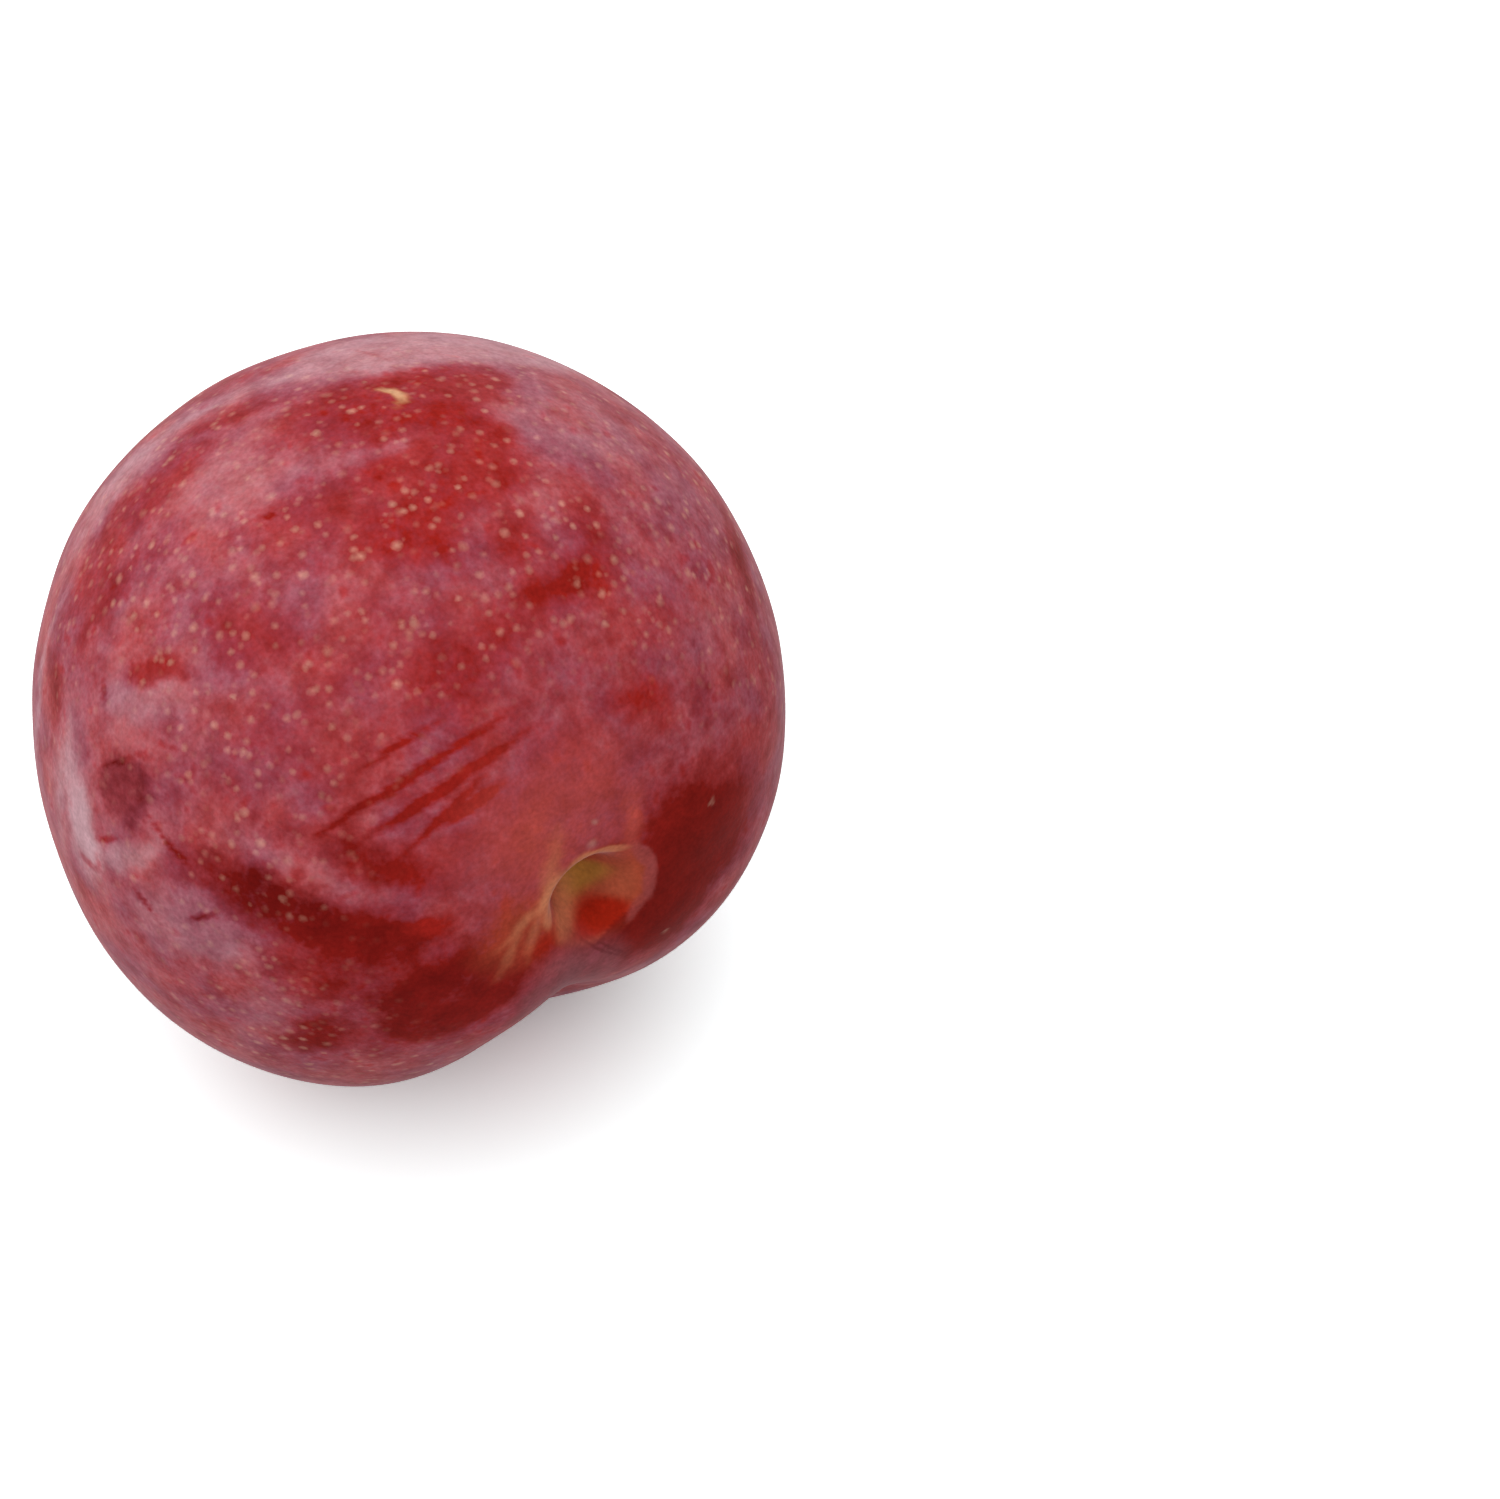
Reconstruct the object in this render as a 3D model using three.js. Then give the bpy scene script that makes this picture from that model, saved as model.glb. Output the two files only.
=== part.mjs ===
// A whole aprium, the fruit of a cross between a plum and an apricot, lying on its side as picked.
// It grew in one piece, so it is one solid: a nearly round body with two cheeks, a stem cavity, a suture
// groove that runs from the cavity underneath to the blossom end, and a small flat spot that it rests on.
// Millimetres. +Z is up, the fruit rests on Z = 0, and its stem end faces -Y.

import * as THREE from "three";
import { mergeVertices } from "three/addons/utils/BufferGeometryUtils.js";

// Body, as half sizes along the fruit's own axes: X to the suture, Y to the full cheek, Z to the stem end.
const HALF_DEPTH = 29.9;
const HALF_WIDTH = 30.2;
const HALF_HEIGHT = 29.6;
const BOXINESS = 2.1; // 2 is an ellipsoid, and more than 2 is fuller at the shoulders

// Swellings that make the body uneven: where, how high, and how far each spreads.
const SWELLINGS = [
  { towards: new THREE.Vector3(0.3, 0.8, -0.4), height: 0.6, spreadDeg: 35 }, // full cheek
  { towards: new THREE.Vector3(-0.3, -0.8, -0.4), height: -1.3, spreadDeg: 35 }, // lean cheek
  { towards: new THREE.Vector3(-0.8, 0, 0.5), height: 0.3, spreadDeg: 35 }, // back, opposite the suture
];

// Suture groove: deepest over the shoulder beside the stem cavity, faint along the side.
const GROOVE_SHOULDER_DEPTH = 6.2;
const GROOVE_SHOULDER_DEG = 50; // from the stem end
const GROOVE_SHOULDER_SPREAD_DEG = 23;
const GROOVE_SIDE_DEPTH = 0.6;
const GROOVE_TIP_DEPTH = 0.9;
const GROOVE_FLANK = 9.2; // distance in which each flank of the V rises most of its depth
const GROOVE_ROUNDING = 1.5; // radius at the bottom of the V

// Stem cavity: a wide basin with a narrow pit in it, where the stem came away. Both sit a little off the
// fruit's axis, by these distances towards the suture and the full cheek.
const BASIN_PLACE = new THREE.Vector2(2.7, 3.0);
const BASIN_DEPTH = 2.6;
const BASIN_RADIUS = 10;
const PIT_PLACE = new THREE.Vector2(3.3, 3.3);
const PIT_DEPTH = 4.6;
const PIT_RADIUS = 3.4;

// Blossom end: a shallow dimple.
const DIMPLE_DEPTH = 0.8;
const DIMPLE_RADIUS = 7;

// How it lies.
const STEM_RISE_DEG = 11; // the stem end points this far above level
const SUTURE_ROLL_DEG = 5; // the suture faces down, turned this far towards +X
const REST_FLATTENING = 0.7; // how much of the underside is pressed flat

// Mesh.
const FACE_ROWS = 20; // rows of small faces along each edge of the starting icosahedron
const STEM_END_GATHER = 0.6; // share by which faces shrink towards the stem cavity

const { clamp, degToRad, radToDeg, smoothstep } = THREE.MathUtils;

// A bump of height 1 that falls away smoothly within a reach; a higher power is flatter on top.
const bump = (distance, reach, power = 2) => Math.exp(-((Math.abs(distance) / reach) ** power));

function bodyRadius(d) {
  const sum =
    (Math.abs(d.x) / HALF_DEPTH) ** BOXINESS +
    (Math.abs(d.y) / HALF_WIDTH) ** BOXINESS +
    (Math.abs(d.z) / HALF_HEIGHT) ** BOXINESS;
  const swelling = SWELLINGS.reduce(
    (total, s) => total + s.height * bump(radToDeg(d.angleTo(s.towards)), s.spreadDeg),
    0,
  );
  return sum ** (-1 / BOXINESS) + swelling;
}

function grooveDepth(d, radius) {
  const fromStemDeg = radToDeg(Math.acos(clamp(d.z, -1, 1)));
  const along =
    GROOVE_SHOULDER_DEPTH * bump(fromStemDeg - GROOVE_SHOULDER_DEG, GROOVE_SHOULDER_SPREAD_DEG) +
    GROOVE_SIDE_DEPTH * smoothstep(fromStemDeg, 50, 80) +
    GROOVE_TIP_DEPTH * smoothstep(fromStemDeg, 120, 165);
  const aside = Math.hypot(radius * d.y, GROOVE_ROUNDING) - GROOVE_ROUNDING;
  const onSutureSide = smoothstep(d.x, -0.05, 0.25);
  return along * Math.exp(-aside / GROOVE_FLANK) * onSutureSide;
}

function endHollows(d, radius) {
  const place = new THREE.Vector2(radius * d.x, radius * d.y);
  if (d.z <= 0) return DIMPLE_DEPTH * bump(place.length(), DIMPLE_RADIUS);
  const basin = BASIN_DEPTH * bump(place.distanceTo(BASIN_PLACE), BASIN_RADIUS);
  const pit = PIT_DEPTH * bump(place.distanceTo(PIT_PLACE), PIT_RADIUS, 4);
  return basin + pit;
}

// The skin's distance from the fruit's centre in a direction given in the fruit's own axes.
function skinRadius(d) {
  let radius = bodyRadius(d);
  radius -= grooveDepth(d, radius);
  return radius - endHollows(d, radius);
}

// Turns a direction a little towards the stem end, so that the faces there are smaller.
function gatherToStemEnd(d) {
  const fromStem = Math.acos(clamp(d.z, -1, 1));
  const turned = fromStem - STEM_END_GATHER * Math.sin(fromStem) * (0.5 + 0.5 * Math.cos(fromStem));
  const around = Math.atan2(d.y, d.x);
  d.set(Math.sin(turned) * Math.cos(around), Math.sin(turned) * Math.sin(around), Math.cos(turned));
}

// The fruit's own axes in the row's frame.
function lyingPose() {
  const rise = degToRad(STEM_RISE_DEG);
  const roll = degToRad(SUTURE_ROLL_DEG);
  const stem = new THREE.Vector3(0, -Math.cos(rise), Math.sin(rise));
  const suture = new THREE.Vector3(0, -Math.sin(rise), -Math.cos(rise)).applyAxisAngle(stem, roll);
  const cheek = new THREE.Vector3().crossVectors(stem, suture);
  return new THREE.Matrix4().makeBasis(suture, cheek, stem);
}

function apriumGeometry() {
  const geometry = new THREE.IcosahedronGeometry(1, FACE_ROWS);
  geometry.deleteAttribute("normal");
  geometry.deleteAttribute("uv");
  const welded = mergeVertices(geometry, 1e-6);
  const position = welded.getAttribute("position");
  const d = new THREE.Vector3();
  for (let i = 0; i < position.count; i++) {
    gatherToStemEnd(d.fromBufferAttribute(position, i).normalize());
    d.multiplyScalar(skinRadius(d));
    position.setXYZ(i, d.x, d.y, d.z);
  }
  welded.applyMatrix4(lyingPose());
  settle(welded);
  welded.computeVertexNormals();
  return welded;
}

// Presses the underside flat and moves the fruit so that its footprint is centred and it stands on Z = 0.
function settle(geometry) {
  const position = geometry.getAttribute("position");
  geometry.computeBoundingBox();
  const floor = geometry.boundingBox.min.z + REST_FLATTENING;
  for (let i = 0; i < position.count; i++) {
    position.setZ(i, Math.max(position.getZ(i), floor));
  }
  geometry.computeBoundingBox();
  const { min, max } = geometry.boundingBox;
  geometry.translate(-(min.x + max.x) / 2, -(min.y + max.y) / 2, -min.z);
}

const skin = new THREE.MeshStandardMaterial({ color: 0x9c2f33, roughness: 0.55, metalness: 0 });
const aprium = new THREE.Mesh(apriumGeometry(), skin);
aprium.name = "aprium";

const part = new THREE.Group();
part.add(aprium);
export default part;
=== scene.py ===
"""A whole aprium, a plum and apricot cross, lying on its side on a white table.

Laid out as a Blender add-on and run as a script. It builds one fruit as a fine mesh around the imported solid,
gives it a waxy red plum skin, and sets the floor, the light and the camera.
"""

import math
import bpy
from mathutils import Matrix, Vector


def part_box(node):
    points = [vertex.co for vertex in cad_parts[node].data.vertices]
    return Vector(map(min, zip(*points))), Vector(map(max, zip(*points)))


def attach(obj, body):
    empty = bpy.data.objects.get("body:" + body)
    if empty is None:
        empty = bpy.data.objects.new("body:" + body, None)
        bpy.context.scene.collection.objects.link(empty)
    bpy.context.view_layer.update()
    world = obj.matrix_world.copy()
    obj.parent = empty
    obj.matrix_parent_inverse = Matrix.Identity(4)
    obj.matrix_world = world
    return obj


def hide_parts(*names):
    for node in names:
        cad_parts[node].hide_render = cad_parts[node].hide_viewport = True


bl_info = {
    "name": "Aprium",
    "version": (1, 0, 0),
    "blender": (4, 5, 0),
    "location": "3D View > Sidebar > Aprium",
    "description": "Builds a whole aprium with its bloom, lenticels and stem cavity",
    "category": "Add Mesh",
}

import bmesh
import bpy
from bpy.props import FloatProperty, FloatVectorProperty, IntProperty, PointerProperty
from mathutils import Matrix, Vector, noise
from mathutils.kdtree import KDTree

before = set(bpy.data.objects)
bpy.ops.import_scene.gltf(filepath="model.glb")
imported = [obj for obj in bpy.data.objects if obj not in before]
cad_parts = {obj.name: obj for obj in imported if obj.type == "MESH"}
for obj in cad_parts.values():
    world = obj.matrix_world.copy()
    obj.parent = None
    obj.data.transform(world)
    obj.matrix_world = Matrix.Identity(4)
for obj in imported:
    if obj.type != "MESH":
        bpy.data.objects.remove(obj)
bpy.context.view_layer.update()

MM = 0.001
NODE = "aprium"
BODY = "root"

# On the skin, patterns lie on a ball of this radius, in millimetres.
SKIN_RADIUS = 30

# Seed of the noise that moves the edges of patches and marks. Without one they would differ each run.
NOISE_SEED = 1

# Sockets of the Mix node when it mixes colours.
MIX_FACTOR, MIX_A, MIX_B, MIX_RESULT = 0, 6, 7, 2


# ---------------------------------------------------------------------------------------------- settings


def length_property(name, description, millimetres):
    """A length that a user can change, in metres, given here in millimetres."""
    return FloatProperty(
        name=name, description=description, default=millimetres * MM, unit="LENGTH", precision=5
    )


def angle_property(name, description, degrees):
    """An angle that a user can change, given here in degrees."""
    return FloatProperty(name=name, description=description, default=math.radians(degrees), subtype="ANGLE")


def colour_property(name, description, hex_value):
    """A colour that a user can change, given as an sRGB hex value."""
    return FloatVectorProperty(
        name=name, description=description, default=linear(hex_value), subtype="COLOR", size=4, min=0, max=1
    )


def linear(hex_value):
    """Turns an sRGB hex colour such as "#a8352f" into linear red, green, blue and alpha."""
    channels = [int(hex_value[i : i + 2], 16) / 255 for i in (1, 3, 5)]
    return tuple(c / 12.92 if c <= 0.04045 else ((c + 0.055) / 1.055) ** 2.4 for c in channels) + (1.0,)


class ApriumShape(bpy.types.PropertyGroup):
    """The fruit's form, in its own axes: X to the suture, Y to the full cheek, Z to the stem end."""

    half_depth: length_property("Half depth", "From the middle to the suture", 29.9)
    half_width: length_property("Half width", "From the middle to a cheek", 30.2)
    half_height: length_property("Half height", "From the middle to the stem end, before the cavity", 29.6)
    boxiness: FloatProperty(name="Boxiness", description="2 is an ellipsoid, more is fuller", default=2.1)
    groove_depth: length_property("Groove depth", "Suture groove over the shoulder", 6.2)
    groove_flank: length_property("Groove flank", "How wide each flank of the groove is", 9.2)
    basin_depth: length_property("Basin depth", "Wide hollow round the stem cavity", 2.6)
    basin_radius: length_property("Basin radius", "Reach of the wide hollow", 10)
    pit_depth: length_property("Pit depth", "Narrow pit where the stem came away", 4.6)
    pit_radius: length_property("Pit radius", "Reach of the narrow pit", 3.4)
    rest_flattening: length_property("Rest flattening", "How much of the underside is pressed flat", 0.7)
    stem_rise: angle_property("Stem rise", "Angle of the stem end above level", 11)
    suture_roll: angle_property("Suture roll", "Angle of the suture from straight down", 5)
    cuts: IntProperty(name="Cuts", description="Cuts in each edge of the starting cube", default=127, min=7)


class ApriumSkin(bpy.types.PropertyGroup):
    """The skin's colours and the sizes of its marks."""

    ripe_red: colour_property("Ripe red", "Bare skin on the sunny side", "#a0221c")
    deep_red: colour_property("Deep red", "Bare skin on the shaded side", "#6c1210")
    warm_bloom: colour_property("Warm bloom", "Redder skin under a thin bloom", "#ba5056")
    cool_bloom: colour_property("Cool bloom", "Bluer skin under a thin bloom", "#a24e62")
    bloom: colour_property("Bloom", "Thick waxy bloom over the skin", "#cca0a8")
    lenticel: colour_property("Lenticel", "Corky breathing dots", "#dca08a")


class ApriumStage(bpy.types.PropertyGroup):
    """The floor, the light and the camera."""

    floor: colour_property("Floor", "Table top", "#ffffff")
    camera_azimuth: angle_property("Azimuth", "Camera's turn round the fruit", -29)
    camera_elevation: angle_property("Elevation", "Camera's angle above level", 45)
    camera_distance: length_property("Distance", "From the camera to the fruit's middle", 250.4)
    lens: FloatProperty(name="Lens", description="Focal length", default=75, subtype="DISTANCE_CAMERA")


# ------------------------------------------------------------------------------------------------- shape

# Swellings that make the body uneven: towards, height, and how many degrees each spreads.
SWELLINGS = (
    (Vector((0.3, 0.8, -0.4)), 0.6 * MM, 35),
    (Vector((-0.3, -0.8, -0.4)), -1.3 * MM, 35),
    (Vector((-0.8, 0, 0.5)), 0.3 * MM, 35),
)

# Share by which faces shrink towards the stem cavity.
STEM_END_GATHER = 0.6

# The suture groove is deepest over the shoulder, at this many degrees from the stem end, and fades over a
# spread. It stays faint along the side and at the tip, and its V is rounded at the bottom.
GROOVE_SHOULDER = 50
GROOVE_SHOULDER_SPREAD = 23
GROOVE_SIDE_DEPTH = 0.6 * MM
GROOVE_TIP_DEPTH = 0.9 * MM
GROOVE_ROUNDING = 1.5 * MM

# Dimple of the blossom end.
DIMPLE_DEPTH = 0.8 * MM
DIMPLE_RADIUS = 7 * MM

# The flesh is slightly uneven: how much, and how many swellings to a radius.
UNEVENNESS = 0.2 * MM
UNEVEN_PER_RADIUS = 3.4

# The stem cavity sits a little off the fruit's axis, towards the suture and the full cheek.
CAVITY_OFFSET = Vector((2.7, 3.0)) * MM
PIT_PLACE = Vector((3.3, 3.3)) * MM


def smooth_step(value, low, high):
    """0 below low, 1 above high, and a smooth S between."""
    t = min(max((value - low) / (high - low), 0), 1)
    return t * t * (3 - 2 * t)


def bump(distance, reach, power=2):
    """A bump of height 1 that falls away smoothly within a reach; a higher power is flatter on top."""
    return math.exp(-((abs(distance) / reach) ** power))


def skin_radius(d, shape):
    """The skin's distance from the fruit's middle in direction d, given in the fruit's own axes."""
    p = shape.boxiness
    halves = (shape.half_depth, shape.half_width, shape.half_height)
    radius = sum((abs(c) / half) ** p for c, half in zip(d, halves)) ** (-1 / p)
    radius += sum(
        height * bump(math.degrees(d.angle(towards)), spread) for towards, height, spread in SWELLINGS
    )
    radius += UNEVENNESS * noise.noise(d * UNEVEN_PER_RADIUS)

    from_stem = math.degrees(math.acos(min(max(d.z, -1), 1)))
    groove = shape.groove_depth * bump(from_stem - GROOVE_SHOULDER, GROOVE_SHOULDER_SPREAD)
    side = GROOVE_SIDE_DEPTH * smooth_step(from_stem, 50, 80)
    groove += side + GROOVE_TIP_DEPTH * smooth_step(from_stem, 120, 165)
    aside = math.hypot(radius * d.y, GROOVE_ROUNDING) - GROOVE_ROUNDING
    radius -= groove * math.exp(-aside / shape.groove_flank) * smooth_step(d.x, -0.05, 0.25)

    if d.z > 0:
        from_axis = math.hypot(radius * d.x - CAVITY_OFFSET.x, radius * d.y - CAVITY_OFFSET.y)
        hollow = shape.basin_depth * bump(from_axis, shape.basin_radius)
        from_pit = math.hypot(radius * d.x - PIT_PLACE.x, radius * d.y - PIT_PLACE.y)
        hollow += shape.pit_depth * bump(from_pit, shape.pit_radius, 4)
    else:
        hollow = DIMPLE_DEPTH * bump(radius * math.hypot(d.x, d.y), DIMPLE_RADIUS)
    return radius - hollow


def gathered(d):
    """Direction d turned a little towards the stem end, so that the faces there are smaller."""
    polar = math.acos(min(max(d.z, -1), 1))
    polar -= STEM_END_GATHER * math.sin(polar) * (0.5 + 0.5 * math.cos(polar))
    around = math.atan2(d.y, d.x)
    return Vector((math.sin(polar) * math.cos(around), math.sin(polar) * math.sin(around), math.cos(polar)))


def lying_axes(shape):
    """The fruit's own axes, as the columns of a matrix in the row's frame."""
    stem = Vector((0, -math.cos(shape.stem_rise), math.sin(shape.stem_rise)))
    down = Vector((0, -math.sin(shape.stem_rise), -math.cos(shape.stem_rise)))
    suture = Matrix.Rotation(shape.suture_roll, 3, stem) @ down
    return Matrix((suture, stem.cross(suture), stem)).transposed()


def fruit_mesh(shape):
    """The fruit's mesh as it lies, and the place of its middle."""
    bm = bmesh.new()
    bmesh.ops.create_cube(bm, size=2)
    bmesh.ops.subdivide_edges(bm, edges=bm.edges, cuts=shape.cuts, use_grid_fill=True)
    axes = lying_axes(shape)
    for vert in bm.verts:
        d = Vector(math.tan(c * math.pi / 4) for c in vert.co).normalized()
        d = gathered(d)
        vert.co = axes @ (d * skin_radius(d, shape))
    floor = min(vert.co.z for vert in bm.verts) + shape.rest_flattening
    for vert in bm.verts:
        vert.co.z = max(vert.co.z, floor)
    low = Vector(min(vert.co[i] for vert in bm.verts) for i in range(3))
    high = Vector(max(vert.co[i] for vert in bm.verts) for i in range(3))
    middle = Vector((-(low.x + high.x) / 2, -(low.y + high.y) / 2, -low.z))
    bmesh.ops.translate(bm, verts=bm.verts, vec=middle)
    bmesh.ops.recalc_face_normals(bm, faces=bm.faces)
    for face in bm.faces:
        face.smooth = True
    mesh = bpy.data.meshes.new("aprium_skin")
    bm.to_mesh(mesh)
    bm.free()
    return mesh, middle


# ---------------------------------------------------------------------------------------------- material


def add(tree, kind, inputs=None, **settings):
    """Adds a node with its settings. An input given a socket is linked to it, and any other is set."""
    made = tree.nodes.new(kind)
    for name, value in settings.items():
        setattr(made, name, value)
    for key, value in (inputs or {}).items():
        if isinstance(value, bpy.types.NodeSocket):
            tree.links.new(value, made.inputs[key])
        else:
            made.inputs[key].default_value = value
    return made


def new_material(name):
    """An empty node material: its tree and its output node."""
    material = bpy.data.materials.new(name)
    material.use_nodes = True
    material.node_tree.nodes.clear()
    return material, material.node_tree, add(material.node_tree, "ShaderNodeOutputMaterial")


# Ways in which a place on the skin is unlike the rest: change of bloom, change of shade, and how much bluer
# the thin bloom is.
KINDS = {
    "bare": (-0.45, 0.1, 0.0),
    "bright": (-0.45, -0.5, 0.0),
    "dark": (-0.45, 0.4, 0.0),
    "thin": (-0.28, 0.1, 0.0),
    "maroon": (-0.3, 1.0, 0.4),
    "dusty": (0.5, 0.0, 0.0),
    "hazy": (0.2, 0.0, 0.0),
    "lavender": (0.25, 0.4, 0.4),
}

# Places on the skin that the fruit's life left unlike the rest. Degrees from the stem end and round from the
# suture, half length and half width in millimetres, degrees that the length is turned from straight away
# from the stem, softness in millimetres, and kind.
PATCHES = (
    # the wide rubbed patch on the upper cheek
    (83, 170, 9.0, 4.4, 90, 1.3, "bare"),
    (68, 168, 6.0, 4.6, 80, 1.3, "bright"),
    (70, -172, 5.0, 3.0, 100, 1.3, "thin"),
    (59, 180, 4.0, 2.4, 70, 1.3, "bright"),
    (96, -173, 6.5, 1.7, 70, 1.0, "bare"),
    (93, -149, 9.0, 2.8, 90, 1.3, "thin"),
    # smaller rubbed patches
    (84, -138, 3.8, 1.5, 85, 1.2, "dark"),
    (69, -136, 2.8, 1.0, 37, 0.6, "bare"),
    (61, -151, 3.6, 3.0, 0, 1.3, "thin"),
    (90, -122, 3.0, 1.4, 137, 1.0, "dark"),
    (67, -118, 2.4, 2.9, 120, 0.8, "maroon"),
    (39, -107, 8.5, 2.2, -15, 1.3, "dark"),
    (30, -90, 8.0, 4.0, -15, 1.3, "thin"),
    (44, -67, 3.0, 1.8, -160, 1.3, "dark"),
    (24, -55, 6.5, 4.5, 155, 1.3, "dark"),
    (54, 163, 1.9, 1.5, 0, 1.3, "bare"),
    (55, 151, 3.0, 1.6, 10, 1.3, "thin"),
    (46, 155, 3.2, 1.4, 100, 1.3, "bare"),
    (42, 168, 4.0, 1.4, 110, 1.3, "thin"),
    (39, -172, 3.2, 2.6, 0, 1.3, "thin"),
    (31, 135, 2.2, 1.2, 90, 1.3, "bright"),
    (27, 70, 7.5, 5.0, 40, 4.0, "dark"),
    # this one is painted shade and painted red reflection of a second fruit that lay against this cheek, drawn
    # as a strip of bare skin
    (64, 112, 4.5, 1.2, 20, 1.0, "bare"),
    (27, -127, 4.4, 1.4, 177, 1.3, "bare"),
    (20, -100, 2.2, 0.8, 0, 1.3, "bright"),
    # thick bloom, where nothing touched it
    (98, 160, 14.0, 5.0, 90, 1.5, "dusty"),
    (106, -155, 8.0, 3.0, 90, 2.5, "dusty"),
    (74, 173, 2.8, 0.8, 104, 1.3, "dusty"),
    (77, 148, 8.0, 5.0, 60, 1.3, "hazy"),
    (80, -168, 7.0, 5.0, 60, 1.3, "hazy"),
    (69, -131, 3.6, 1.7, 30, 0.9, "lavender"),
    (83, -111, 5.0, 1.4, 90, 1.3, "dusty"),
    (76, -104, 4.0, 1.7, 90, 1.0, "dusty"),
    (77, -109, 4.2, 1.5, 119, 0.9, "dusty"),
    (66, -108, 4.2, 1.2, 29, 0.8, "dusty"),
    (38, -117, 5.0, 1.5, 0, 1.3, "hazy"),
    (55, -98, 5.0, 3.0, 0, 1.3, "lavender"),
    (48, -92, 2.6, 1.8, 0, 1.3, "hazy"),
    (51, -74, 5.5, 1.6, -140, 1.3, "hazy"),
    (98, -118, 6.0, 0.6, 90, 1.3, "dusty"),
    # the underside and the far cheek
    (100, 120, 8.0, 4.0, 80, 1.3, "bare"),
    (115, -160, 9.0, 4.0, 70, 1.3, "thin"),
    (125, 100, 7.0, 4.0, 30, 1.3, "dusty"),
    (140, -40, 7.0, 4.0, 100, 1.3, "bare"),
    (150, 160, 5.0, 4.0, 0, 1.3, "bare"),
    (95, 60, 9.0, 5.0, 90, 1.3, "hazy"),
    (80, 70, 6.0, 2.6, 60, 1.3, "dark"),
    (110, -70, 7.0, 2.6, 40, 1.3, "dark"),
    (95, -40, 8.0, 5.0, 90, 1.3, "hazy"),
    (72, 22, 5.0, 3.0, 80, 1.3, "dark"),
    (104, 14, 10.0, 2.2, 0, 1.3, "dusty"),
    (132, 8, 9.0, 2.2, 0, 1.3, "dusty"),
    (160, -120, 4.0, 3.0, 0, 1.3, "dark"),
    (120, 42, 5.0, 2.4, 50, 1.3, "bare"),
    (135, -110, 8.0, 5.0, 90, 1.3, "hazy"),
)

# Scratches through the bloom: place, half length and half width in millimetres, and turn, as above, then how
# much of the bloom is gone.
SCRATCHES = (
    (31, -153, 6.6, 0.3, 76, 1.0),
    (35, -156, 2.4, 0.16, 78, 1.0),
    (26.5, -157, 6.0, 0.42, 80, 1.0),
    (24, -150, 3.2, 0.3, 84, 1.0),
    (22, -158, 2.6, 0.45, 81, 1.0),
    (58, -113.5, 2.0, 0.18, 150, 0.8),
    (69, -121.5, 2.0, 0.16, 42, 0.5),
    (65, -125, 0.8, 0.16, 14, 0.5),
    (62, -128.5, 0.7, 0.14, 10, 0.5),
    (76, -129, 0.9, 0.3, 127, 0.6),
    (52, -101.5, 1.2, 0.2, 33, 1.0),
    (62, -100, 0.9, 0.22, 137, 1.0),
    (69.5, -108, 1.2, 0.25, 26, 1.0),
    (75, -101, 1.3, 0.3, 0, 1.0),
    (72, -164, 0.5, 0.14, 60, 1.0),
    (100, 99, 4.5, 0.22, 68, 1.0),
    (104, 96, 3.0, 0.16, 74, 1.0),
    (118, -88, 4.0, 0.22, 20, 1.0),
    (62, 42, 3.0, 0.22, 52, 1.0),
    (141, 130, 5.0, 0.28, -30, 1.0),
    (143, 122, 2.6, 0.18, -26, 1.0),
    (98, 168, 2.1, 0.16, -162, 0.35),
    (91.5, 164.5, 1.5, 0.16, -106, 0.35),
    (93, 172, 1.6, 0.16, 60, 0.3),
)

# Coloured marks: place, half length and half width in millimetres, and turn, as above, then softness, sRGB
# colour and how strongly it covers.
MARKS = (
    # russet scar, comma-shaped
    (84.6, 170.5, 0.7, 0.32, 45, 0.24, "#dcaa80", 0.9),
    (82.9, 169.8, 0.8, 0.4, 6, 0.26, "#dcaa80", 0.9),
    (81.2, 170.5, 0.6, 0.24, -50, 0.2, "#cc8c64", 0.7),
    # painted shade of creases in the valley below the cavity: dark lines where the mesh has no crease
    (20.5, 17.5, 3.0, 0.14, 17, 0.16, "#5c1c22", 0.5),
    (21.5, 21, 2.0, 0.14, 11, 0.16, "#5c1c22", 0.45),
    # orange blush and corky scar of the blossom end
    (180, 0, 6.0, 5.0, 0, 4.0, "#a83426", 0.6),
    (180, 0, 1.5, 1.3, 0, 0.7, "#8a3c28", 0.6),
    (180, 0, 0.7, 0.55, 30, 0.3, "#c49a6c", 0.9),
    # corky scars on the underside
    (96, 96, 1.2, 0.3, 40, 0.22, "#c8906c", 0.7),
    (128, -24, 0.6, 0.35, 0, 0.25, "#d0a078", 0.8),
)

# The few colours in and round the stem cavity, as sRGB.
CAVITY_COLOURS = {
    "salmon": "#c4544c",
    "tan": "#dc8c64",
    "straw": "#b4803c",
    "flesh": "#b04a34",
    "scarlet": "#a02010",
    "wine": "#7c1a14",
    "rose": "#a44a48",
    "mauve": "#905056",
    "cork": "#d09c88",
}

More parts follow.
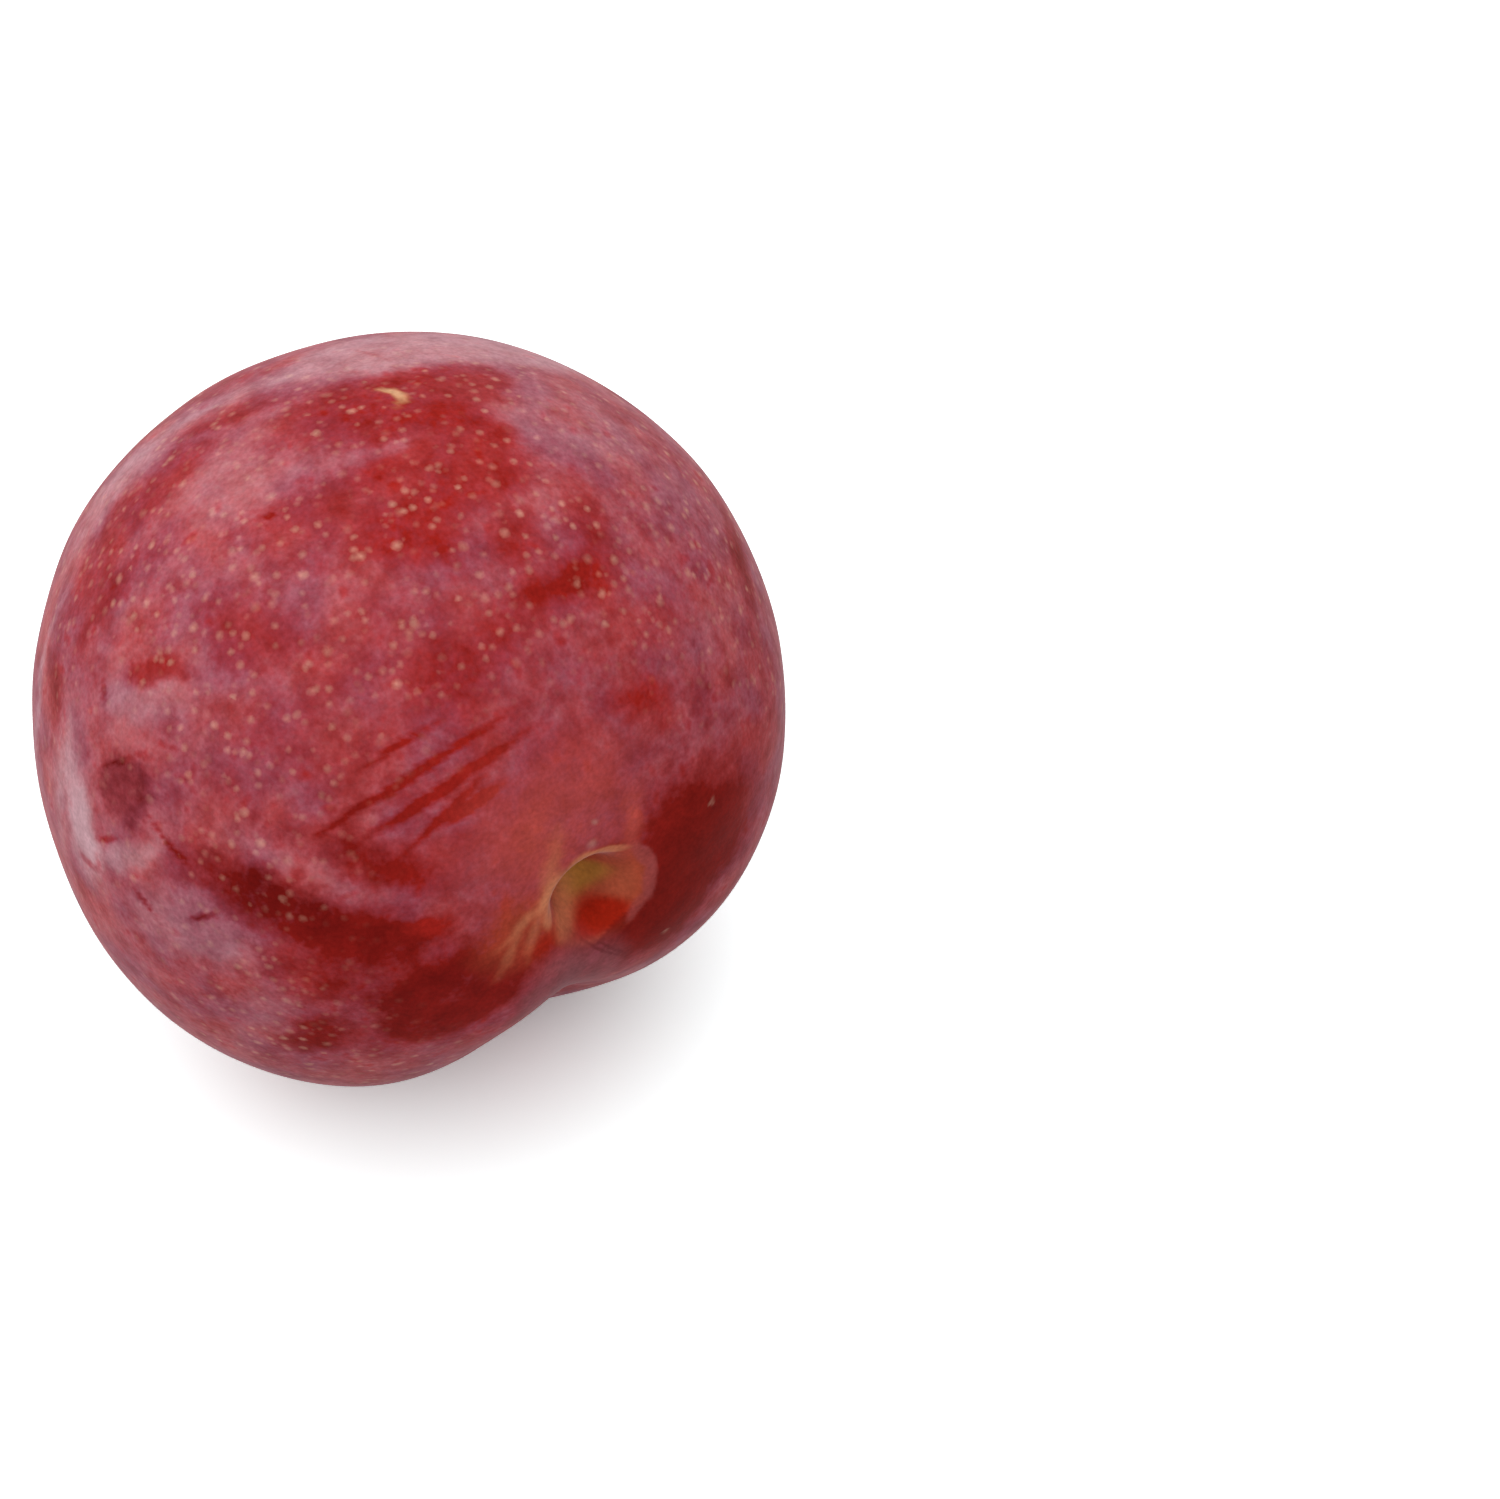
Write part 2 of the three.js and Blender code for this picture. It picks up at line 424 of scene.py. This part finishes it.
# Where they lie. Distance from the pit's axis in millimetres, degrees round it from the suture, half length
# out from the axis, half width, degrees that the length is turned, softness, colour, how strongly it covers,
# and change of bloom.
TINTS = (
    # paler skin, short of sun, on the blunt side
    (9.0, 195, 6.0, 7.0, 0, 4.0, "salmon", 0.6, -0.2),
    (7.0, 262, 3.4, 3.0, 0, 2.0, "flesh", 0.7, -0.4),
    # deep red skin beyond the far rim
    (9.0, 105, 4.2, 4.6, 0, 3.6, "wine", 0.6, -0.4),
    (8.5, 62, 4.0, 6.0, 0, 3.2, "wine", 0.8, -0.4),
    (8.0, 34, 3.6, 3.6, 0, 2.2, "wine", 0.8, -0.4),
    # floor and walls of the pit
    (0.0, 0, 4.6, 4.6, 0, 0.6, "flesh", 0.95, -0.8),
    (2.0, 80, 1.6, 1.8, 0, 1.2, "tan", 0.2, 0.0),
    (0.5, 20, 0.9, 2.0, 0, 0.8, "straw", 0.95, 0.0),
    (2.4, 300, 1.6, 1.0, 0, 0.7, "tan", 0.6, 0.0),
    (3.0, 4, 1.1, 2.5, 0, 0.8, "scarlet", 0.95, 0.0),
    (4.3, 20, 0.5, 2.6, 0, 0.5, "wine", 0.8, 0.0),
    # faint bloom on the far rim
    (4.6, 112, 0.6, 2.0, 0, 0.55, "rose", 0.8, 0.0),
    (4.6, 78, 0.6, 2.0, 0, 0.55, "rose", 0.8, 0.0),
    (4.4, 46, 0.5, 1.6, 0, 0.5, "rose", 0.6, 0.0),
    # dusty valley of the suture
    (8.5, 324, 4.2, 2.6, 0, 1.2, "mauve", 0.8, -0.35),
    (8.5, 350, 3.6, 3.0, 0, 1.4, "mauve", 0.8, -0.35),
    # tan lip of the blunt side
    (4.2, 160, 0.5, 2.0, 0, 0.45, "tan", 0.6, -0.3),
    (4.4, 192, 0.7, 1.1, 0, 0.6, "tan", 0.7, -0.3),
    (4.5, 228, 0.9, 1.7, 0, 0.8, "tan", 0.7, -0.3),
    (4.2, 262, 0.6, 1.1, 0, 0.5, "tan", 0.6, -0.3),
    (5.4, 287, 1.1, 0.9, 0, 0.8, "scarlet", 0.8, -0.4),
    # streaks that run out from it
    (5.9, 215, 3.0, 0.65, -59, 0.65, "tan", 0.4, -0.3),
    (9.2, 203, 2.4, 1.4, -20, 1.4, "salmon", 0.5, -0.2),
    (6.4, 253, 2.3, 0.42, 40, 0.42, "tan", 0.4, -0.2),
    (6.9, 146, 2.9, 0.75, 20, 0.75, "salmon", 0.7, -0.3),
    (5.6, 267, 2.0, 0.36, 67, 0.36, "tan", 0.3, 0.0),
    (7.6, 270, 2.2, 0.4, 52, 0.4, "tan", 0.3, 0.0),
    # corky specks
    (7.6, 172, 0.3, 0.3, 0, 0.25, "cork", 0.6, 0.0),
    (5.5, 177, 0.35, 0.35, 0, 0.3, "cork", 0.5, 0.0),
    (11.4, 104, 0.22, 0.26, 0, 0.22, "cork", 0.6, 0.0),
    (9.6, 33, 0.3, 0.2, 40, 0.2, "cork", 0.4, 0.0),
)


# How far the edges of patches, of marks and of the cavity's tints wander: grain size and reach of each
# wander, in millimetres. A search goes further than an edge by a margin, because the points wander too.
PATCH_WANDERS = ((5.0, 1.3), (1.4, 0.6), (0.5, 0.3))
MARK_WANDERS = ((3.0, 0.25), (0.5, 0.15))
CAVITY_WANDERS = ((2.4, 0.5), (0.8, 0.3))
SEARCH_MARGIN = 3.75

# Untouched skin: how much bloom it has, how much more away from the stem end, how dark it is, and how both
# vary, as the grain size in millimetres and the swing of each cloud. The shift in place gives the shade clouds
# unlike those of the bloom.
BLOOM_LEVEL = 0.44
BLOOM_GAIN = 0.16
BLOOM_GAIN_HEIGHTS = (10, 25)
BLOOM_CLOUDS = ((13, 0.09), (3.2, 0.1))
SHADE_LEVEL = 0.2
SHADE_CLOUDS = ((15, 0.3), (3.5, 0.15))
SHADE_SHIFT = Vector((50, 0, 0))

# Lenticels: the cloud and shift by which they vary, and where they are few. They fade over these heights
# towards the stem end, and over these distances from two places, all in millimetres. Some are left at the
# second place.
DOTS_CLOUD = (7, 0.5)
DOTS_SHIFT = Vector((0, 50, 0))
DOTS_FADE_HEIGHTS = (20, 28)
NO_DOTS_PLACE, NO_DOTS_FADE = (28, 65), (9, 19)
FEW_DOTS_PLACE, FEW_DOTS_FADE = (80, -104), (9, 20)
FEW_DOTS_LEFT = 0.4

# A scratch's soft edge in millimetres, and how much bloom it takes and shade it adds. A mark takes bloom too.
SCRATCH_SOFT = 0.22
SCRATCH_BLOOM = 0.65
SCRATCH_SHADE = 0.15
MARK_BLOOM = 0.5

# The cavity's tints reach skin above this height and within this distance of the fruit's axis. Their edges
# wander by nothing within the first of two distances from the pit's axis, and fully beyond the second.
TINTED_ABOVE = 10
TINTED_WITHIN = 24
TINT_WANDER_FROM = (2, 9)


def outward(from_stem, around):
    """The direction of a place on the skin, from the angles in degrees, in the fruit's own axes."""
    polar, side = math.radians(from_stem), math.radians(around)
    return Vector((math.sin(polar) * math.cos(side), math.sin(polar) * math.sin(side), math.cos(polar)))


def cloud(point, grain):
    """Soft random variation from about -1 to 1, for a point and a grain size in millimetres."""
    return noise.fractal(point / grain, 1.0, 2.0, 3)


def strayed(point, wanders):
    """How far a point's place in a pattern strays, for the grain size and reach of each wander."""
    stray = Vector((0, 0, 0))
    for grain, reach in wanders:
        stray += noise.noise_vector(point / grain) * reach
    return stray


def clouded(level, point, clouds):
    """A level that varies over the skin, for the grain size and swing of each cloud."""
    for grain, swing in clouds:
        level += swing * cloud(point, grain)
    return level


def touched(tree, points, centre, along, across, half_length, half_width, soft):
    """Finds the points in an ellipse round a centre: each one's index, and its strength at the soft edge."""
    edge = min(soft / half_width, 0.95)
    furthest = max(half_length, half_width) * (1 + edge) + SEARCH_MARGIN
    for _, index, _ in tree.find_range(centre, furthest):
        offset = points[index] - centre
        reach = math.hypot(offset.dot(along) / half_length, offset.dot(across) / half_width)
        strength = 1 - smooth_step(reach, 1 - edge, 1 + edge)
        if strength:
            yield index, strength


def on_skin(from_stem, around, turn):
    """A place on the skin, and the directions along and across a mark there."""
    out = outward(from_stem, around)
    away = (outward(from_stem + 1, around) - out).normalized()
    along = Matrix.Rotation(math.radians(turn), 3, out) @ away
    return out * SKIN_RADIUS, along, out.cross(along)


def by_cavity(from_axis, around, turn):
    """A place beside the pit's axis, seen along it, and the directions along and across a mark there."""
    side, heading = math.radians(around), math.radians(around + turn)
    along = Vector((math.cos(heading), math.sin(heading), 0))
    place = Vector((from_axis * math.cos(side), from_axis * math.sin(side), 0))
    return place, along, Vector((-along.y, along.x, 0))


def grown(points):
    """A search tree of the points."""
    tree = KDTree(len(points))
    for index, point in enumerate(points):
        tree.insert(point, index)
    tree.balance()
    return tree


def untouched(on_ball):
    """The skin before anything touched it: bloom, shade, and how plain the lenticels are, at each point."""
    bloom, shade, dots = [], [], []
    no_dots = outward(*NO_DOTS_PLACE) * SKIN_RADIUS
    few_dots = outward(*FEW_DOTS_PLACE) * SKIN_RADIUS
    for p in on_ball:
        low, high = BLOOM_GAIN_HEIGHTS
        bloom.append(clouded(BLOOM_LEVEL + BLOOM_GAIN * smooth_step(-p.z, -high, -low), p, BLOOM_CLOUDS))
        shade.append(clouded(SHADE_LEVEL, p + SHADE_SHIFT, SHADE_CLOUDS))
        low, high = DOTS_FADE_HEIGHTS
        share = min(smooth_step(-p.z, -high, -low), smooth_step((p - no_dots).length, *NO_DOTS_FADE))
        share *= FEW_DOTS_LEFT + (1 - FEW_DOTS_LEFT) * smooth_step((p - few_dots).length, *FEW_DOTS_FADE)
        dots.append(share * clouded(1.0, p + DOTS_SHIFT, (DOTS_CLOUD,)))
    return bloom, shade, dots


def beside_cavity(places):
    """The places round the stem cavity: each one's index, and where it lies seen along the pit's axis."""
    near = [
        index
        for index, place in enumerate(places)
        if place.z > TINTED_ABOVE and math.hypot(place.x, place.y) < TINTED_WITHIN
    ]
    beside = []
    for index in near:
        flat = Vector((places[index].x - PIT_PLACE.x / MM, places[index].y - PIT_PLACE.y / MM, 0))
        stray = strayed(places[index], CAVITY_WANDERS) * smooth_step(flat.length, *TINT_WANDER_FROM)
        beside.append(flat + stray.xy.to_3d())
    return near, beside


def paint(mesh, axes, middle, skin):
    """Stores at each vertex the colour of the skin under its bloom, how thick the bloom is, how much bluer
    it is where it is thin, and how plain the lenticels are."""
    noise.seed_set(NOISE_SEED)
    to_own = axes.transposed()
    ripe, deep = Vector(skin.ripe_red), Vector(skin.deep_red)
    places = [to_own @ (vert.co - middle) / MM for vert in mesh.vertices]
    on_ball = [place.normalized() * SKIN_RADIUS for place in places]
    bloom, shade, dots = untouched(on_ball)
    chill = [0.0] * len(places)

    points = [p + strayed(p, PATCH_WANDERS) for p in on_ball]
    tree = grown(points)
    for from_stem, around, half_length, half_width, turn, soft, kind in PATCHES:
        spot = on_skin(from_stem, around, turn)
        bloom_change, shade_change, bluer = KINDS[kind]
        for index, strength in touched(tree, points, *spot, half_length, half_width, soft):
            bloom[index] += strength * bloom_change
            shade[index] += strength * shade_change
            chill[index] += strength * bluer

    points = [p + strayed(p, MARK_WANDERS) for p in on_ball]
    tree = grown(points)
    marks = []
    for from_stem, around, half_length, half_width, turn, soft, colour, share in MARKS:
        spot = on_skin(from_stem, around, turn)
        pigment = Vector(linear(colour))
        for index, strength in touched(tree, points, *spot, half_length, half_width, soft):
            marks.append((index, pigment, strength * share))
    for from_stem, around, half_length, half_width, turn, depth in SCRATCHES:
        spot = on_skin(from_stem, around, turn)
        for index, strength in touched(tree, points, *spot, half_length, half_width, SCRATCH_SOFT):
            bloom[index] -= strength * depth * SCRATCH_BLOOM
            shade[index] += strength * depth * SCRATCH_SHADE

    ground = [ripe.lerp(deep, min(max(share, 0), 1)) for share in shade]
    near, beside = beside_cavity(places)
    tree = grown(beside)
    for from_axis, around, half_length, half_width, turn, soft, colour, share, bloom_change in TINTS:
        spot = by_cavity(from_axis, around, turn)
        pigment = Vector(linear(CAVITY_COLOURS[colour]))
        for index, strength in touched(tree, beside, *spot, half_length, half_width, soft):
            ground[near[index]] = ground[near[index]].lerp(pigment, strength * share)
            bloom[near[index]] += strength * bloom_change
    for index, pigment, share in marks:
        ground[index] = ground[index].lerp(pigment, share)
        bloom[index] -= MARK_BLOOM * share

    for name, values in (("bloom", bloom), ("chill", chill), ("dots", dots)):
        mesh.attributes.new(name, "FLOAT", "POINT").data.foreach_set("value", values)
    colours = mesh.attributes.new("ground", "FLOAT_COLOR", "POINT")
    colours.data.foreach_set("color", [channel for colour in ground for channel in colour])


# Grain sizes of the skin's textures, in millimetres.
BLOTCH_SIZE = 4.5
MOTTLE_SIZE = 1.8
GRAIN_SIZE = 0.6
SPECKLE_SIZE = 0.35

# Lenticels of three sizes: spacing and radius in millimetres, and how plainly they show.
LENTICELS = ((2.1, 0.5, 0.75), (1.5, 0.42, 0.65), (1.1, 0.36, 0.55))

# How much the mottle and the grain change the bloom, and how far the grain pulls lenticels out of round.
MOTTLE_SWING = 0.45
GRAIN_SWING = 0.4
LENTICEL_WOBBLE = (0.35, 0.35, 0.35)


def noise_at(tree, place, size, **inputs):
    """A noise texture of a grain size in millimetres."""
    settings = {"Vector": place, "Scale": 1 / size, "Detail": 1.0}
    return add(tree, "ShaderNodeTexNoise", {**settings, **inputs})


def maths(tree, operation, *values, **settings):
    """The result of a Math node on the given sockets and numbers."""
    inputs = dict(enumerate(values))
    return add(tree, "ShaderNodeMath", inputs, operation=operation, **settings).outputs[0]


def mixed(tree, factor, first, second):
    """The colour between two, from the first at factor 0 to the second at factor 1."""
    inputs = {MIX_FACTOR: factor, MIX_A: first, MIX_B: second}
    return add(tree, "ShaderNodeMix", inputs, data_type="RGBA").outputs[MIX_RESULT]


def ranged(tree, value, interpolation="LINEAR", **limits):
    """The result of a Map Range node, with its limits given as from_min, from_max, to_min and to_max."""
    inputs = {"Value": value, **{name.replace("_", " ").title(): limit for name, limit in limits.items()}}
    return add(tree, "ShaderNodeMapRange", inputs, interpolation_type=interpolation).outputs[0]


def plum_skin(skin, axes, middle):
    """Thin plum skin: deep red under a pale waxy bloom that is rubbed off in patches, with corky dots."""
    material, tree, output = new_material("waxy plum skin")
    coordinates = add(tree, "ShaderNodeTexCoord").outputs["Object"]
    place = add(
        tree,
        "ShaderNodeMapping",
        {"Vector": coordinates, "Location": middle, "Rotation": axes.to_euler(), "Scale": (MM, MM, MM)},
        vector_type="TEXTURE",
    ).outputs[0]
    ground = add(tree, "ShaderNodeAttribute", attribute_name="ground").outputs["Color"]
    bloom = add(tree, "ShaderNodeAttribute", attribute_name="bloom").outputs["Fac"]
    chill = add(tree, "ShaderNodeAttribute", attribute_name="chill").outputs["Fac"]
    dots = add(tree, "ShaderNodeAttribute", attribute_name="dots").outputs["Fac"]
    blotches = noise_at(tree, place, BLOTCH_SIZE)
    mottle = noise_at(tree, place, MOTTLE_SIZE)
    grain = noise_at(tree, place, GRAIN_SIZE, Detail=2.0, Roughness=0.6)
    for texture, swing in ((mottle, MOTTLE_SWING), (grain, GRAIN_SWING)):
        centred = maths(tree, "SUBTRACT", texture.outputs["Fac"], 0.5)
        bloom = maths(tree, "MULTIPLY_ADD", centred, swing, bloom)
    flecks = ranged(tree, mottle.outputs["Fac"], "SMOOTHSTEP", from_min=0.6, from_max=0.85, to_max=0.4)
    bloom = maths(tree, "SUBTRACT", bloom, flecks)

    warmth = ranged(tree, blotches.outputs["Fac"], from_min=0.35, from_max=0.65)
    warmth = maths(tree, "SUBTRACT", warmth, chill, use_clamp=True)
    film = mixed(tree, warmth, skin.cool_bloom, skin.warm_bloom)
    thin = ranged(tree, bloom, from_min=0.0, from_max=0.62, to_max=0.78)
    thick = ranged(tree, bloom, "SMOOTHSTEP", from_min=0.3, from_max=1.8)
    colour = mixed(tree, thin, ground, film)

    wobble = add(
        tree,
        "ShaderNodeVectorMath",
        {0: grain.outputs["Color"], 1: LENTICEL_WOBBLE, 2: place},
        operation="MULTIPLY_ADD",
    ).outputs[0]
    for spacing, radius, strength in LENTICELS:
        cells = add(tree, "ShaderNodeTexVoronoi", {"Vector": wobble, "Scale": 1 / spacing})
        plain = add(tree, "ShaderNodeSeparateColor", {0: cells.outputs["Color"]}).outputs[0]
        dot = ranged(
            tree, cells.outputs["Distance"], from_min=radius / spacing, from_max=0.0, to_max=strength
        )
        dot = maths(tree, "MULTIPLY", dot, plain)
        dot = maths(tree, "MULTIPLY", dot, dots, use_clamp=True)
        colour = mixed(tree, dot, colour, skin.lenticel)
    colour = mixed(tree, thick, colour, skin.bloom)

    fine = noise_at(tree, place, SPECKLE_SIZE)
    value = ranged(tree, fine.outputs["Fac"], to_min=0.75, to_max=1.25)
    coarse = ranged(tree, mottle.outputs["Fac"], to_min=0.75, to_max=1.25)
    value = maths(tree, "MULTIPLY", value, coarse)
    colour = add(tree, "ShaderNodeHueSaturation", {"Value": value, "Color": colour}).outputs[0]

    roughness = ranged(tree, bloom, to_min=0.42, to_max=0.8)
    relief = add(
        tree, "ShaderNodeBump", {"Height": grain.outputs["Fac"], "Strength": 0.25, "Distance": 0.1 * MM}
    ).outputs[0]
    shader = add(
        tree,
        "ShaderNodeBsdfPrincipled",
        {
            "Base Color": colour,
            "Normal": relief,
            "Roughness": roughness,
            "Specular IOR Level": 0.0,
            "Sheen Weight": 0.3,
            "Sheen Roughness": 0.3,
            "Sheen Tint": (1, 0.86, 0.9, 1),
        },
    )
    tree.links.new(shader.outputs[0], output.inputs[0])
    return material


# ------------------------------------------------------------------------------------------------- stage


# How much brighter the paper is shown than it is, in red, green, blue and alpha, so that it is white beyond
# the fruit's shadow.
PAPER_EXPOSURE = (1.6, 1.75, 1.75, 1)

# The paper's grey for every ray that isn't seen, and half its width in metres.
PAPER_GREY = (0.5, 0.5, 0.5, 1)
TABLE_REACH = 3

# Strength of the light from all round, and of what the camera sees there instead.
WORLD_GLOW = 0.45
WORLD_SEEN = 1.0

# The lamp overhead: its strength, how wide it looks, and the direction from the fruit to it.
SUN_STRENGTH = 2.0
SUN_WIDTH = math.radians(150)
SUN_TOWARDS = Vector((-0.3, 0.1, 0.9))

# The camera is moved right and down from the line to the fruit's middle, and its sensor is full frame.
CAMERA_RIGHT = 27.4 * MM
CAMERA_DOWN = 3.9 * MM
SENSOR_WIDTH = 36


def floor_material(stage):
    """Matt white paper. It is white to the eye and gives the fruit only a weak glow from below."""
    material, tree, output = new_material("matt white paper")
    rays = add(tree, "ShaderNodeLightPath").outputs
    seen = maths(tree, "MAXIMUM", rays["Is Camera Ray"], rays["Is Glossy Ray"])
    seen = maths(tree, "MAXIMUM", seen, rays["Is Transmission Ray"])
    exposed = tuple(exposure * channel for exposure, channel in zip(PAPER_EXPOSURE, stage.floor))
    paper = add(tree, "ShaderNodeBsdfDiffuse", {"Color": mixed(tree, seen, PAPER_GREY, exposed)})
    tree.links.new(paper.outputs[0], output.inputs[0])
    return material


def set_world():
    """A weak even light from all round, that is white to the eye."""
    world = bpy.data.worlds.new("studio")
    bpy.context.scene.world = world
    world.use_nodes = True
    tree = world.node_tree
    tree.nodes.clear()
    rays = add(tree, "ShaderNodeLightPath").outputs
    seen = maths(tree, "MAXIMUM", rays["Is Camera Ray"], rays["Is Transmission Ray"])
    strength = ranged(tree, seen, to_min=WORLD_GLOW, to_max=WORLD_SEEN)
    light = add(tree, "ShaderNodeBackground", {"Color": (1, 1, 1, 1), "Strength": strength})
    output = add(tree, "ShaderNodeOutputWorld")
    tree.links.new(light.outputs[0], output.inputs[0])


class APRIUM_OT_fruit(bpy.types.Operator):
    """Builds the whole fruit"""

    bl_idname = "aprium.fruit"
    bl_label = "Fruit"

    def execute(self, context):
        shape = context.scene.aprium_shape
        mesh, middle = fruit_mesh(shape)
        fruit = bpy.data.objects.new("aprium_fruit", mesh)
        context.collection.objects.link(fruit)
        axes = lying_axes(shape)
        paint(mesh, axes, middle, context.scene.aprium_skin)
        mesh.materials.append(plum_skin(context.scene.aprium_skin, axes, middle))
        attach(fruit, BODY)
        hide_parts(NODE)
        return {"FINISHED"}


class APRIUM_OT_stage(bpy.types.Operator):
    """Sets the floor, the light and the camera"""

    bl_idname = "aprium.stage"
    bl_label = "Stage"

    def execute(self, context):
        stage = context.scene.aprium_stage
        bm = bmesh.new()
        bmesh.ops.create_grid(bm, x_segments=1, y_segments=1, size=TABLE_REACH)
        mesh = bpy.data.meshes.new("table_top")
        bm.to_mesh(mesh)
        bm.free()
        mesh.materials.append(floor_material(stage))
        floor = bpy.data.objects.new("table_top", mesh)
        context.collection.objects.link(floor)
        set_world()

        sun = bpy.data.lights.new("overhead", "SUN")
        sun.energy = SUN_STRENGTH
        sun.angle = SUN_WIDTH
        lamp = bpy.data.objects.new("overhead", sun)
        lamp.rotation_euler = SUN_TOWARDS.to_track_quat("Z", "Y").to_euler()
        context.collection.objects.link(lamp)

        a, e = stage.camera_azimuth, stage.camera_elevation
        right = Vector((math.cos(a), math.sin(a), 0))
        back = Vector((math.sin(a) * math.cos(e), -math.cos(a) * math.cos(e), math.sin(e)))
        up = back.cross(right)
        data = bpy.data.cameras.new("camera")
        data.lens = stage.lens
        data.sensor_width = SENSOR_WIDTH
        camera = bpy.data.objects.new("camera", data)
        low, high = (Vector(corner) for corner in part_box(NODE))
        middle = (low + high) / 2
        place = middle + CAMERA_RIGHT * right - CAMERA_DOWN * up + stage.camera_distance * back
        turned = Matrix((right, up, back)).transposed().to_4x4()
        camera.matrix_world = Matrix.Translation(place) @ turned
        context.collection.objects.link(camera)
        context.scene.camera = camera
        return {"FINISHED"}


class APRIUM_PT_panel(bpy.types.Panel):
    """Lists the steps that build the fruit"""

    bl_label = "Aprium"
    bl_idname = "APRIUM_PT_panel"
    bl_space_type = "VIEW_3D"
    bl_region_type = "UI"
    bl_category = "Aprium"

    def draw(self, context):
        for operator in OPERATORS:
            self.layout.operator(operator.bl_idname)


OPERATORS = (APRIUM_OT_stage, APRIUM_OT_fruit)
GROUPS = (ApriumShape, ApriumSkin, ApriumStage)


def register():
    for cls in (*GROUPS, *OPERATORS, APRIUM_PT_panel):
        bpy.utils.register_class(cls)
    bpy.types.Scene.aprium_shape = PointerProperty(type=ApriumShape)
    bpy.types.Scene.aprium_skin = PointerProperty(type=ApriumSkin)
    bpy.types.Scene.aprium_stage = PointerProperty(type=ApriumStage)


def unregister():
    del bpy.types.Scene.aprium_stage
    del bpy.types.Scene.aprium_skin
    del bpy.types.Scene.aprium_shape
    for cls in reversed((*GROUPS, *OPERATORS, APRIUM_PT_panel)):
        bpy.utils.unregister_class(cls)


def main():
    register()
    bpy.context.scene.view_settings.view_transform = "Standard"
    bpy.ops.aprium.stage()
    bpy.ops.aprium.fruit()


if __name__ == "__main__":
    main()
